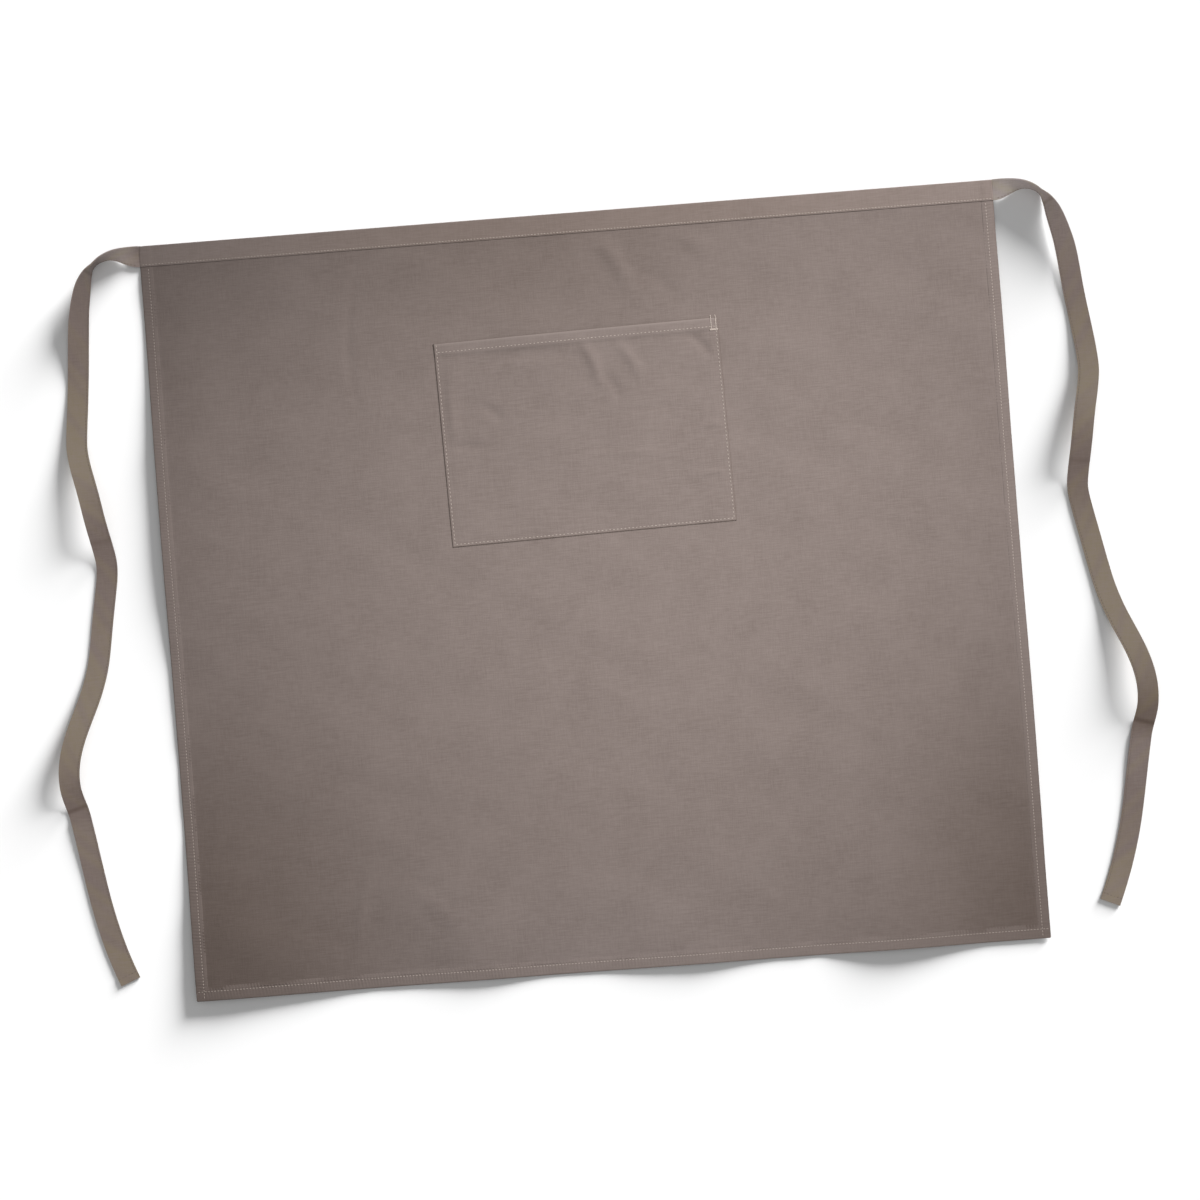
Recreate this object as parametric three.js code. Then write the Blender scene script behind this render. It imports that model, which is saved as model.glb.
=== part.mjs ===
// A waist apron lying flat, in millimetres: +X across, +Y towards the waistband, +Z up.
// The cloth panel, the waistband tape, its two free ends and the patch pocket are separate pieces.

import * as THREE from "three";

// Cloth and seams
const clothThickness = 1.0;
const hemThickness = 2.0;
const seamGap = 0.3;
const hemStep = 1.0;
const clothColour = "#8b7f79";
const clothRoughness = 0.92;

// Panel
const panelWidth = 900;
const panelLength = 800;
const sideHemWidth = 9;
const bottomHemWidth = 11;
const bottomHemRise = 3.5;
const bandRampLength = 18;
const panelGrid = 26;

// Waistband tape, folded over the panel's top edge
const tapeWidth = 22;
const tapeThickness = 1.0;
const tapeFoldSteps = 8;
const tapeColour = "#8b8072";
const tapeRoughness = 0.88;

// Ties, the free ends of the tape
const tieLength = 835;
const tieThickness = 2.0;
const tieLift = 16;
const tieSeatLength = 30;
const tieSteps = 96;

// Patch pocket
const pocketWidth = 300;
const pocketDepth = 215;
const pocketBelowBand = 102;
const pocketShift = 3;
const pocketTurn = 1.0;
const pocketBorderWidth = 9;
const pocketMouthHemWidth = 11;
const pocketGape = 8;
const pocketGapeReach = 190;
const pocketGrid = 15;

// Low swells where the cloth stands off the surface. The places and reaches are shares of the
// panel's width and length, counted from its middle, and the rises are shares of swellHeight.
const swellHeight = 8;
const swells = [
  { name: "left_edge", across: -0.5, along: 0.14, reachAcross: 0.17, reachAlong: 0.28, rise: 0.8 },
  { name: "left_corner", across: -0.47, along: -0.46, reachAcross: 0.19, reachAlong: 0.2, rise: 1.0 },
  { name: "left_fold", across: -0.17, along: -0.45, reachAcross: 0.09, reachAlong: 0.13, rise: 0.4 },
  { name: "bottom_edge", across: 0.07, along: -0.5, reachAcross: 0.12, reachAlong: 0.09, rise: 0.4 },
  { name: "right_fold", across: 0.33, along: -0.5, reachAcross: 0.11, reachAlong: 0.15, rise: 0.9 },
  { name: "right_edge", across: 0.5, along: -0.2, reachAcross: 0.1, reachAlong: 0.24, rise: 0.8 },
  { name: "right_shoulder", across: 0.5, along: 0.3, reachAcross: 0.14, reachAlong: 0.14, rise: 0.5 },
];

// Route of each tie. along is a share of the tie's length. left and right are each side's heading
// in degrees, from straight down the apron (0) to straight out (90). roll is the tape's turn on
// edge in degrees, and lift is the height of the drape as a share of tieLift.
const tieRoute = [
  { along: 0.0, left: 92, right: 92, roll: 0, lift: 0 },
  { along: 0.012, left: 99, right: 99, roll: 28, lift: 0 },
  { along: 0.026, left: 96, right: 96, roll: 55, lift: 0 },
  { along: 0.038, left: 82, right: 84, roll: 72, lift: 0 },
  { along: 0.05, left: 66, right: 67, roll: 83, lift: 0 },
  { along: 0.064, left: 46, right: 44, roll: 88, lift: 0 },
  { along: 0.076, left: 30, right: 30, roll: 72, lift: 0.05 },
  { along: 0.096, left: 16, right: 18, roll: 48, lift: 0.15 },
  { along: 0.125, left: 10, right: 14, roll: 32, lift: 0.2 },
  { along: 0.16, left: 6, right: 7, roll: 12, lift: 0.15 },
  { along: 0.22, left: 5.5, right: 8, roll: 0, lift: 0 },
  { along: 0.285, left: 4, right: 3, roll: 0, lift: 0.25 },
  { along: 0.305, left: -6, right: -8, roll: 0, lift: 0.45 },
  { along: 0.335, left: -13, right: -13, roll: 0, lift: 0.75 },
  { along: 0.385, left: -9, right: -9, roll: 0, lift: 1 },
  { along: 0.44, left: -8, right: -6, roll: 0, lift: 0.15 },
  { along: 0.46, left: 3, right: 7, roll: 0, lift: 0 },
  { along: 0.48, left: 10, right: 11, roll: 0, lift: 0 },
  { along: 0.56, left: 10, right: 12, roll: 0, lift: 0 },
  { along: 0.6, left: 18, right: 18, roll: 0, lift: 0.1 },
  { along: 0.645, left: 24, right: 23, roll: 0, lift: 0.5 },
  { along: 0.695, left: 16, right: 13, roll: 0, lift: 0.95 },
  { along: 0.735, left: 0, right: -3, roll: 0, lift: 0.7 },
  { along: 0.77, left: -16, right: -18, roll: 0, lift: 0 },
  { along: 0.79, left: -10, right: -12, roll: 0, lift: 0.08 },
  { along: 0.86, left: -9, right: -11, roll: 0, lift: 0 },
  { along: 0.93, left: -14, right: -17, roll: 0, lift: 0 },
  { along: 1.0, left: -22, right: -24, roll: 0, lift: 0 },
];

// Sizes that follow from the ones above
const bandThickness = 2 * tapeThickness + 2 * seamGap + clothThickness;
const bandTopY = panelLength / 2;
const bandLowY = bandTopY - tapeWidth;
const tongueZ = tapeThickness + seamGap;
const pocketMouthY = bandLowY - pocketBelowBand;

const cloth = new THREE.MeshStandardMaterial({
  color: clothColour,
  roughness: clothRoughness,
  metalness: 0,
  side: THREE.DoubleSide,
});
const tape = new THREE.MeshStandardMaterial({
  color: tapeColour,
  roughness: tapeRoughness,
  metalness: 0,
  side: THREE.DoubleSide,
});

// Smooth helpers
const { clamp, smoothstep, lerp, degToRad } = THREE.MathUtils;

function bump(distance) {
  return Math.abs(distance) < 1 ? Math.cos(distance * Math.PI / 2) ** 2 : 0;
}

// A smooth curve through one column of a table, read at a place along it
function columnCurve(rows, key) {
  const places = rows.map((row) => row.along);
  const values = rows.map((row) => row[key]);
  const curve = new THREE.CubicInterpolant(places, values, 1, [0]);
  return (place) => curve.evaluate(place)[0];
}

function spread(from, to, steps) {
  return Array.from({ length: steps + 1 }, (_, i) => lerp(from, to, i / steps));
}

// A closed solid between two grids of points, with a wall round the rim
function sheetSolid(columns, rows, upper, lower) {
  const points = [];
  for (const surface of [upper, lower]) {
    for (const row of rows) {
      for (const column of columns) {
        points.push(...surface(column, row));
      }
    }
  }
  const across = columns.length;
  const layer = across * rows.length;
  const faces = [];
  for (let j = 0; j + 1 < rows.length; j += 1) {
    for (let i = 0; i + 1 < across; i += 1) {
      const a = j * across + i;
      const b = a + 1;
      const c = a + across;
      const d = c + 1;
      faces.push(a, b, d, a, d, c);
      faces.push(layer + a, layer + d, layer + b, layer + a, layer + c, layer + d);
    }
  }
  const rim = [];
  for (let i = 0; i + 1 < across; i += 1) {
    rim.push(i);
  }
  for (let j = 0; j + 1 < rows.length; j += 1) {
    rim.push(j * across + across - 1);
  }
  for (let i = across - 1; i > 0; i -= 1) {
    rim.push((rows.length - 1) * across + i);
  }
  for (let j = rows.length - 1; j > 0; j -= 1) {
    rim.push(j * across);
  }
  rim.forEach((from, index) => {
    const to = rim[(index + 1) % rim.length];
    faces.push(layer + from, layer + to, to, layer + from, to, from);
  });
  const geometry = new THREE.BufferGeometry();
  geometry.setAttribute("position", new THREE.Float32BufferAttribute(points, 3));
  geometry.setIndex(faces);
  geometry.computeVertexNormals();
  return geometry;
}

// Height of the panel's underside above the surface that the apron lies on
function undersideZ(x, y) {
  const ramp = smoothstep(y, bandLowY - bandRampLength, bandLowY);
  let swell = 0;
  for (const { across, along, reachAcross, reachAlong, rise } of swells) {
    const dx = (x / panelWidth - across) / reachAcross;
    const dy = (y / panelLength - along) / reachAlong;
    swell += rise * bump(dx) * bump(dy);
  }
  return ramp * tongueZ + (1 - ramp) * swell * swellHeight;
}

// Cloth panel: hems are turned under, so they stand thicker on the flat surface
function panelGeometry() {
  const hemX = panelWidth / 2 - sideHemWidth;
  const insideX = hemX - hemStep;
  const columns = [-panelWidth / 2, -hemX, ...spread(-insideX, insideX, panelGrid), hemX, panelWidth / 2];
  const hemShare = bottomHemWidth / panelLength;
  const stepShare = hemStep / panelLength;
  const rampStart = 1 - (tapeWidth + bandRampLength) / panelLength;
  const tongueStart = 1 - tapeWidth / panelLength;
  const rampRows = spread(rampStart, tongueStart, 3).slice(1);
  const rows = [0, hemShare, ...spread(hemShare + stepShare, rampStart, panelGrid), ...rampRows, 1];
  const topY = bandTopY - tapeThickness - seamGap;

  function place(x, share) {
    const bottomY = -panelLength / 2 + bottomHemRise * (0.5 - x / panelWidth);
    return Math.min(lerp(bottomY, bandTopY, share), topY);
  }
  function thickness(x, share) {
    const inHem = Math.abs(x) >= hemX || share <= hemShare;
    const belowBand = 1 - smoothstep(share, rampStart, tongueStart);
    return inHem ? lerp(clothThickness, hemThickness, belowBand) : clothThickness;
  }
  function lower(x, share) {
    const y = place(x, share);
    return [x, y, undersideZ(x, y)];
  }
  function upper(x, share) {
    const y = place(x, share);
    return [x, y, undersideZ(x, y) + thickness(x, share)];
  }
  return sheetSolid(columns, rows, upper, lower);
}

// Waistband: a tape folded over the panel's top edge, drawn as a section and extruded along X
function waistbandGeometry() {
  const middle = bandThickness / 2;
  const outerRadius = middle;
  const innerRadius = middle - tapeThickness;
  const foldY = bandTopY - outerRadius;
  const section = new THREE.Shape();
  section.moveTo(bandLowY, 0);
  section.lineTo(foldY, 0);
  section.absarc(foldY, middle, outerRadius, -Math.PI / 2, Math.PI / 2, false);
  section.lineTo(bandLowY, bandThickness);
  section.lineTo(bandLowY, bandThickness - tapeThickness);
  section.lineTo(foldY, bandThickness - tapeThickness);
  section.absarc(foldY, middle, innerRadius, Math.PI / 2, -Math.PI / 2, true);
  section.lineTo(bandLowY, tapeThickness);
  section.closePath();
  const geometry = new THREE.ExtrudeGeometry(section, {
    depth: panelWidth,
    bevelEnabled: false,
    curveSegments: tapeFoldSteps,
    steps: 1,
  });
  const sectionToApron = new THREE.Matrix4().makeBasis(
    new THREE.Vector3(0, 1, 0),
    new THREE.Vector3(0, 0, 1),
    new THREE.Vector3(1, 0, 0),
  );
  geometry.applyMatrix4(sectionToApron);
  geometry.translate(-panelWidth / 2, 0, 0);
  return geometry;
}

// Turn of the tape on edge, in radians
function rollAt(along) {
  return degToRad(Math.max(columnCurve(tieRoute, "roll")(along), 0));
}

// Centre line of a tie, walked from the waistband's end. side is -1 for the left and 1 for the right.
function tiePath(side) {
  const heading = columnCurve(tieRoute, side < 0 ? "left" : "right");
  const drape = columnCurve(tieRoute, "lift");
  const halfWidth = tapeWidth / 2;
  const halfThickness = tieThickness / 2;
  const seatZ = bandThickness / 2 - halfThickness;

  function centreZ(along) {
    const roll = rollAt(along);
    const onEdge = halfWidth * Math.sin(roll) + halfThickness * Math.cos(roll);
    const seat = seatZ * (1 - smoothstep(along * tieLength, 0, tieSeatLength));
    return onEdge + seat + tieLift * Math.max(drape(along), 0);
  }

  const step = tieLength / tieSteps;
  const start = panelWidth / 2 + seamGap;
  const path = [new THREE.Vector3(side * start, bandTopY - halfWidth, centreZ(0))];
  for (let i = 1; i <= tieSteps; i += 1) {
    const middle = (i - 0.5) / tieSteps;
    const turn = degToRad(heading(middle));
    const rise = centreZ(i / tieSteps) - centreZ((i - 1) / tieSteps);
    const run = Math.sqrt(Math.max(step ** 2 - rise ** 2, 0));
    const move = new THREE.Vector3(side * run * Math.sin(turn), -run * Math.cos(turn), rise);
    path.push(path[i - 1].clone().add(move));
  }
  return path;
}

// Tie: the tape's section carried along its centre line, rolled on edge where it turns the corner
function tieGeometry(side) {
  const path = tiePath(side);
  const up = new THREE.Vector3(0, 0, 1);
  const frames = path.map((point, i) => {
    const before = path[Math.max(i - 1, 0)];
    const after = path[Math.min(i + 1, tieSteps)];
    const ahead = i === 0 ? new THREE.Vector3(side, 0, 0) : after.clone().sub(before).normalize();
    const outward = new THREE.Vector3().crossVectors(up, ahead).normalize().multiplyScalar(side);
    const normal = new THREE.Vector3().crossVectors(ahead, outward).multiplyScalar(side);
    const roll = rollAt(i / tieSteps);
    return {
      point,
      acrossTape: outward.clone().multiplyScalar(Math.cos(roll)).addScaledVector(normal, Math.sin(roll)),
      throughTape: normal.clone().multiplyScalar(Math.cos(roll)).addScaledVector(outward, -Math.sin(roll)),
    };
  });
  const edges = [side * tapeWidth / 2, -side * tapeWidth / 2];

  function face(height) {
    return (edge, i) => {
      const { point, acrossTape, throughTape } = frames[i];
      const corner = point.clone().addScaledVector(acrossTape, edge).addScaledVector(throughTape, height);
      return corner.toArray();
    };
  }
  return sheetSolid(edges, [...path.keys()], face(tieThickness / 2), face(-tieThickness / 2));
}

// Pocket: sewn down on three sides, with its mouth standing open in the middle
function pocketGeometry() {
  const halfWidth = pocketWidth / 2;
  const borderX = halfWidth - pocketBorderWidth;
  const hemLine = pocketMouthHemWidth;
  const borderLine = pocketDepth - pocketBorderWidth;
  const clearX = spread(-borderX + hemStep, borderX - hemStep, pocketGrid);
  const columns = [-halfWidth, -borderX, ...clearX, borderX, halfWidth];
  const clearRows = spread(borderLine - hemStep, hemLine + hemStep, pocketGrid);
  const rows = [pocketDepth, borderLine, ...clearRows, hemLine, 0];
  const turn = degToRad(pocketTurn);

  function toPanel(x, below) {
    const y = pocketDepth / 2 - below;
    return [
      pocketShift + x * Math.cos(turn) - y * Math.sin(turn),
      pocketMouthY - pocketDepth / 2 + x * Math.sin(turn) + y * Math.cos(turn),
    ];
  }
  function gape(x, below) {
    const towardsSide = clamp(Math.abs(x) / borderX, 0, 1);
    const towardsBottom = clamp(below / pocketGapeReach, 0, 1);
    return pocketGape * bump(towardsSide ** 1.5) * bump(towardsBottom);
  }
  function thickness(x, below) {
    const inBorder = Math.abs(x) >= borderX || below <= hemLine || below >= borderLine;
    return inBorder ? hemThickness : clothThickness;
  }
  function lower(x, below) {
    const [panelX, panelY] = toPanel(x, below);
    const panelTop = undersideZ(panelX, panelY) + clothThickness;
    return [panelX, panelY, panelTop + seamGap + gape(x, below)];
  }
  function upper(x, below) {
    const [panelX, panelY, z] = lower(x, below);
    return [panelX, panelY, z + thickness(x, below)];
  }
  return sheetSolid(columns, rows, upper, lower);
}

function piece(name, geometry, material) {
  const mesh = new THREE.Mesh(geometry, material);
  mesh.name = name;
  return mesh;
}

const apron = new THREE.Group();
apron.add(piece("body_panel", panelGeometry(), cloth));
apron.add(piece("pocket", pocketGeometry(), cloth));
apron.add(piece("waistband", waistbandGeometry(), tape));
apron.add(piece("tie_left", tieGeometry(-1), tape));
apron.add(piece("tie_right", tieGeometry(1), tape));

// The origin is the middle of the whole outline, on the surface that the apron lies on
const extent = new THREE.Box3().setFromObject(apron);
const centre = extent.getCenter(new THREE.Vector3());
apron.position.set(-centre.x, -centre.y, -extent.min.z);

const group = new THREE.Group();
group.add(apron);

export default group;
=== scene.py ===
# A waist apron lying flat on a pale floor. Lengths here are in millimetres in the apron's own
# frame: +X across, +Y towards the waistband, +Z up. add_piece turns them into metres.

import math

import bpy
import numpy as np
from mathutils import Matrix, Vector


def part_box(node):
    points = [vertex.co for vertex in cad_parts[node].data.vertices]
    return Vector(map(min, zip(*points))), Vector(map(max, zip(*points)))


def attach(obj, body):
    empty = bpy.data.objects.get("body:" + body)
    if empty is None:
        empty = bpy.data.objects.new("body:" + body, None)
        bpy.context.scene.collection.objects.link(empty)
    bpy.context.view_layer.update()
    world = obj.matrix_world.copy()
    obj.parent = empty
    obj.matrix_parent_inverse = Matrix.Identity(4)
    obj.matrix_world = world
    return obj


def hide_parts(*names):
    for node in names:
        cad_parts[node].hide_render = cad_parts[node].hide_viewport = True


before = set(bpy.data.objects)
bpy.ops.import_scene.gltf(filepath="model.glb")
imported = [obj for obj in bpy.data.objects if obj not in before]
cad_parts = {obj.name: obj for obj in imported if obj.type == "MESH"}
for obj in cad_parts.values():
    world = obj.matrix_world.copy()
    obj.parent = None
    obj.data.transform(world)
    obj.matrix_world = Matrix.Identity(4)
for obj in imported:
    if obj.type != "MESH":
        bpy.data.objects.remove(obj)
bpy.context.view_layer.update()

MM = 0.001
rng = np.random.default_rng(7)


def node_box(name):
    low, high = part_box(name)
    return np.array(low) / MM, np.array(high) / MM


def table(columns, rows):
    """Rows of numbers as dictionaries, with the names of the columns as keys."""
    return [dict(zip(columns.split(), row)) for row in rows]


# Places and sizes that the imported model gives
band_low, band_high = node_box("waistband")
panel_low, _ = node_box("body_panel")
pocket_low, pocket_high = node_box("pocket")
apron_origin = np.array([
    (band_low[0] + band_high[0]) / 2,
    (panel_low[1] + band_high[1]) / 2,
    0.0,
])
panel_width = band_high[0] - band_low[0]
panel_length = band_high[1] - panel_low[1]
panel_half = panel_width / 2
tape_width = band_high[1] - band_low[1]
tape_half = tape_width / 2
band_top_y = panel_length / 2
band_middle_y = band_top_y - tape_half
band_low_y = band_top_y - tape_width
pocket_centre = ((pocket_low + pocket_high) / 2 - apron_origin)[:2]

# Cloth and hems. lie is the panel's height above the floor, and it rises into the waistband over
# ramp_length. The hems' upper layer laps over the single cloth from lap_from to lap_to.
cloth = 0.4
cloth_grid = 3.2
lie = 0.35
ramp_length = 18.0
panel_top = band_top_y - 3.0
side_hem = 9.0
bottom_hem = 11.0
bottom_rise = 3.5
hem_rise_height = 0.5
corner_rise = 0.35
hem_slope = 5.0
hem_corner = 1.4
# Painted shade at the pressed rims: the lightness factor at the very rim, and how far in it fades
rim_shade = 0.6
rim_width = 0.9
lap_from = 11.5
lap_to = 13.0
lap_drop = 0.05

# Gathers across the hems, and the groove that a row of stitches presses into the cloth
gather = 0.12
hem_gather = 0.16
gather_inset = 3.5
groove_depth = 0.16
groove_reach = 1.1
side_row = side_hem - 0.6
bottom_row = bottom_hem - 1.0

# Waistband and ties. leaf is one layer of the folded tape, and tape_gap the space between two.
# The panel's top climbs by tongue_rise to lie between the waistband's leaves. Each tie joins the
# waistband at join_past_edge beyond the panel's side.
leaf = 0.85
tape_gap = 0.06
sewn_row = 1.9
fold_puff = 0.1
sewn_groove = 0.12
tape_gather = 0.035
band_play = 0.12
band_lie = 0.14
tongue_rise = leaf + band_lie + band_play / 2 - lie
tie_length = 835.0
tie_steps = 740
tie_lift = 16.0
tie_seat_length = 30.0
leaves_close = 16.0
join_past_edge = 0.03
tip_hem = 9.0
tip_hem_rise = 0.35
tip_round = 0.8

# Pocket
pocket_width = 300.0
pocket_depth = 215.0
pocket_turn = math.radians(1.0)
pocket_border = 9.0
mouth_hem = 11.0
pocket_seam = 2.6
pocket_cloth = 0.55
mouth_layers = 3
mouth_row = mouth_hem - 1.2
pocket_clearance = 0.06
pocket_fold_lift = 0.7
pocket_gape = 4.2
pocket_gape_reach = 190.0
pocket_grid = 1.3

# Stitches, with the thickness of their threads
stitch_pitch = 3.35
stitch_length = 2.1
stitch_sides = 5
thread = 0.68
back_thread = 0.45
thread_sink = 0.1
band_back_thread = 0.2
pocket_pitch = 4.0
pocket_thread = 0.6
tack_length = 2.0
tack_thread = 0.95
tack_pitch = 1.7
tack_foot_pitch = 1.3
hem_pitch = stitch_pitch / 4

# Low swells where the cloth stands off the floor, as the solids have them. Places and reaches are
# shares of the panel's width and length from its middle, and rises are shares of swell_height.
swell_height = 8.0
swells = table("across along reach_across reach_along rise", [
    (-0.5, 0.14, 0.17, 0.28, 0.8),
    (-0.47, -0.46, 0.19, 0.2, 1.0),
    (-0.17, -0.45, 0.09, 0.13, 0.4),
    (0.07, -0.5, 0.12, 0.09, 0.4),
    (0.33, -0.5, 0.11, 0.15, 0.9),
    (0.5, -0.2, 0.1, 0.24, 0.8),
    (0.5, 0.3, 0.14, 0.14, 0.5),
])

# Long soft waves of the laid cloth, with headings in degrees
waves = table("length heading height phase", [
    (310, 24, 0.8, 0.6),
    (190, -38, 0.5, 2.1),
    (127, 71, 0.3, 4.4),
    (86, 8, 0.15, 1.3),
    (49, 127, 0.07, 3.2),
    (37, -12, 0.05, 5.1),
])

# Ridges of the laid cloth, and valleys where the height is below 0. x and y are their middles.
wrinkles = table("x y heading length width height", [
    (-231, 284, 86, 125, 7, -0.8),
    (45, 345, -58, 66, 12, 1.76),
    (127, 360, -34, 45, 13, 1.12),
    (92, 318, -40, 50, 14, -0.8),
    (291, 112, -2, 270, 2.2, -0.22),
    (364, 202, -3, 116, 2.0, -0.19),
    (372, 169, 2, 116, 2.0, -0.19),
    (-435, -11, -4, 30, 2.4, -0.24),
    (-353, -268, -9, 190, 2.4, -0.24),
    (-267, -314, 76, 68, 9, 1.12),
    (-194, -320, -42, 74, 13, 0.96),
    (203, -241, 40, 48, 20, -0.96),
    (239, -365, 40, 90, 22, -1.6),
    (-330, 180, 12, 150, 24, 0.8),
    (330, -40, 20, 170, 26, 0.8),
    (-60, -90, 62, 190, 30, 0.96),
])

# The same for the pocket, with x from its middle and below from its mouth
pocket_wrinkles = table("x below heading length width height", [
    (-52, 26, 0, 105, 10, -1.3),
    (-134, 65, 85, 75, 13, 1.3),
    (-126, 113, 0, 38, 8, -1.2),
    (-97, 78, -35, 30, 9, -1.1),
    (13, 35, -71, 44, 9, 1.9),
    (53, 36, -58, 38, 9, 1.7),
    (33, 62, -64, 30, 8, -0.9),
    (128, 27, -48, 30, 8, -1.5),
    (136, 114, 2, 34, 5, 0.9),
    (130, 164, 4, 34, 5, 0.9),
    (60, 96, 3, 110, 6, -0.4),
    (40, 140, -2, 120, 7, 0.5),
    (-40, 120, 30, 90, 16, 1),
])

# Broad patches of painted shade on the cloth, or of painted light where the depth is below 0
painted_shade_patches = table("x y reach_x reach_y depth", [
    (-450, -400, 260, 400, 0.3),
    (450, -400, 200, 380, 0.26),
    (-30, 390, 320, 200, 0.12),
    (-20, -400, 330, 170, -0.1),
])

# Route of each tie, as the solids have it. along is a share of the length, left and right are
# headings in degrees from straight down, roll is the turn on edge and lift a share of tie_lift.
tie_route = table("along left right roll lift", [
    (0.0, 92, 92, 0, 0),
    (0.012, 99, 99, 28, 0),
    (0.026, 96, 96, 55, 0),
    (0.038, 82, 84, 72, 0),
    (0.05, 66, 67, 83, 0),
    (0.064, 46, 44, 88, 0),
    (0.076, 30, 30, 72, 0.05),
    (0.096, 16, 18, 48, 0.15),
    (0.125, 10, 14, 32, 0.2),
    (0.16, 6, 7, 12, 0.15),
    (0.22, 5.5, 8, 0, 0),
    (0.285, 4, 3, 0, 0.25),
    (0.305, -6, -8, 0, 0.45),
    (0.335, -13, -13, 0, 0.75),
    (0.385, -9, -9, 0, 1),
    (0.44, -8, -6, 0, 0.15),
    (0.46, 3, 7, 0, 0),
    (0.48, 10, 11, 0, 0),
    (0.56, 10, 12, 0, 0),
    (0.6, 18, 18, 0, 0.1),
    (0.645, 24, 23, 0, 0.5),
    (0.695, 16, 13, 0, 0.95),
    (0.735, 0, -3, 0, 0.7),
    (0.77, -16, -18, 0, 0),
    (0.79, -10, -12, 0, 0.08),
    (0.86, -9, -11, 0, 0),
    (0.93, -14, -17, 0, 0),
    (1.0, -22, -24, 0, 0),
])

# How the tape's colour wanders along each tie: khaki is the share of khaki over mauve, and shade a
# factor of painted light and shade on its lightness
tape_khaki_and_painted_shading = table("along left_khaki left_shade right_khaki right_shade", [
    (0.0, 0.1, 1.12, 0.35, 1.75),
    (0.03, 0.3, 1.45, 0.35, 1.85),
    (0.06, 0.1, 1.1, 0.1, 1.4),
    (0.16, 0.1, 0.95, 0.1, 1.0),
    (0.25, 0.9, 1.05, 0.7, 1.05),
    (0.33, 1.0, 1.15, 0.9, 1.15),
    (0.42, 0.1, 0.9, 0.1, 0.85),
    (0.5, 0.3, 1.0, 0.8, 1.05),
    (0.64, 0.9, 1.15, 1.0, 1.15),
    (0.7, 0.9, 1.05, 0.7, 1.0),
    (0.76, 0.0, 0.85, 0.3, 0.7),
    (0.795, 0.3, 1.0, 0.1, 1.05),
    (0.88, 0.3, 1.0, 0.2, 1.0),
    (1.0, 0.9, 1.05, 1.0, 1.15),
])

# The same for the waistband's painted light and shade, from its left end to its right
band_painted_shading = table("along shade", [
    (0.0, 1.28),
    (0.15, 1.15),
    (0.32, 1.0),
    (0.5, 0.96),
    (0.7, 1.0),
    (1.0, 1.16),
])

# Painted shade in sharp creases across the ties, at a run from the waistband. side is -1 for the left
# tie.
painted_crease_shading = table("side run reach depth", [
    (-1, 62, 3.0, 0.25),
    (-1, 352, 5.0, 0.12),
    (-1, 644, 4.0, 0.3),
    (1, 66, 3.0, 0.25),
    (1, 348, 5.0, 0.12),
    (1, 640, 5.0, 0.3),
])


# Smooth helpers, which take numbers or arrays

def bump(distance):
    return np.where(np.abs(distance) < 1, np.cos(distance * np.pi / 2) ** 2, 0.0)


def smoothstep(value, low, high):
    share = np.clip((value - low) / (high - low), 0, 1)
    return share * share * (3 - 2 * share)


def ridge(x, y, row):
    """Height of one wrinkle, which runs out towards its ends and sides."""
    heading = math.radians(row["heading"])
    run = x * math.cos(heading) + y * math.sin(heading)
    off = y * math.cos(heading) - x * math.sin(heading)
    bend = 0.06 * row["length"] * np.cos(np.pi * run / row["length"])
    lengthwise = bump(run / row["length"] * 1.15)
    crosswise = np.exp(-2 * ((off - bend) / row["width"]) ** 2)
    return row["height"] * lengthwise * crosswise


def wobble(place, length, seed):
    """A smooth irregular value from -1 to 1 along a line, the sum of three waves."""
    turns = 2 * np.pi * np.asarray(place) / length
    rates = ((1, 1), (1.73, 2.4), (2.91, 4.1))
    return sum(np.sin(rate * turns + start * seed) for rate, start in rates) / len(rates)


def column_curve(rows, key, place):
    """A smooth curve through one column of a table: cubic, with slopes taken from the neighbours."""
    places = np.array([row["along"] for row in rows], float)
    values = np.array([row[key] for row in rows], float)
    last = len(places) - 1
    after = np.clip(np.searchsorted(places, place, side="right"), 1, last)
    before = after - 1

    def slope(start, end):
        return (values[end] - values[start]) / (places[end] - places[start])

    chord = slope(before, after)
    slope_in = np.where(before > 0, slope(np.maximum(before - 1, 0), after), chord)
    slope_out = np.where(after < last, slope(before, np.minimum(after + 1, last)), chord)
    span = places[after] - places[before]
    t = (np.asarray(place) - places[before]) / span
    return (
        values[before] * (2 * t ** 3 - 3 * t ** 2 + 1)
        + slope_in * span * (t ** 3 - 2 * t ** 2 + t)
        + values[after] * (3 * t ** 2 - 2 * t ** 3)
        + slope_out * span * (t ** 3 - t ** 2)
    )


# Heights of the laid cloth

def foot_line(x):
    """Y of the bottom edge, which rises a little to the right."""
    return -panel_length / 2 + bottom_rise * (0.5 - x / panel_width)


def from_edges(x, y):
    """Distances of a place on the panel from its nearer side and from its foot."""
    return panel_half - np.abs(x), y - foot_line(x)


def relief(x, y):
    """Soft waves and wrinkles, all above the floor."""
    total = np.zeros(np.broadcast(x, y).shape)
    for wave in waves:
        heading = math.radians(wave["heading"])
        run = x * math.cos(heading) + y * math.sin(heading)
        swing = 0.35 * wobble(x + 2 * y, 610, wave["phase"])
        turns = 2 * np.pi * (run / wave["length"] + swing) + wave["phase"]
        total = total + wave["height"] * (0.5 + 0.5 * np.cos(turns))
    for row in wrinkles:
        total = total + ridge(x - row["x"], y - row["y"], row)
    return np.maximum(total, 0)


def underside(x, y):
    """Height of the panel's underside above the floor."""
    ramp = smoothstep(y, band_low_y - ramp_length, band_low_y)
    swell = np.zeros(np.broadcast(x, y).shape)
    for row in swells:
        dx = (x / panel_width - row["across"]) / row["reach_across"]
        dy = (y / panel_length - row["along"]) / row["reach_along"]
        swell = swell + row["rise"] * bump(dx) * bump(dy)
    return lie + ramp * tongue_rise + (1 - ramp) * (swell * swell_height + relief(x, y))


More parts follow.
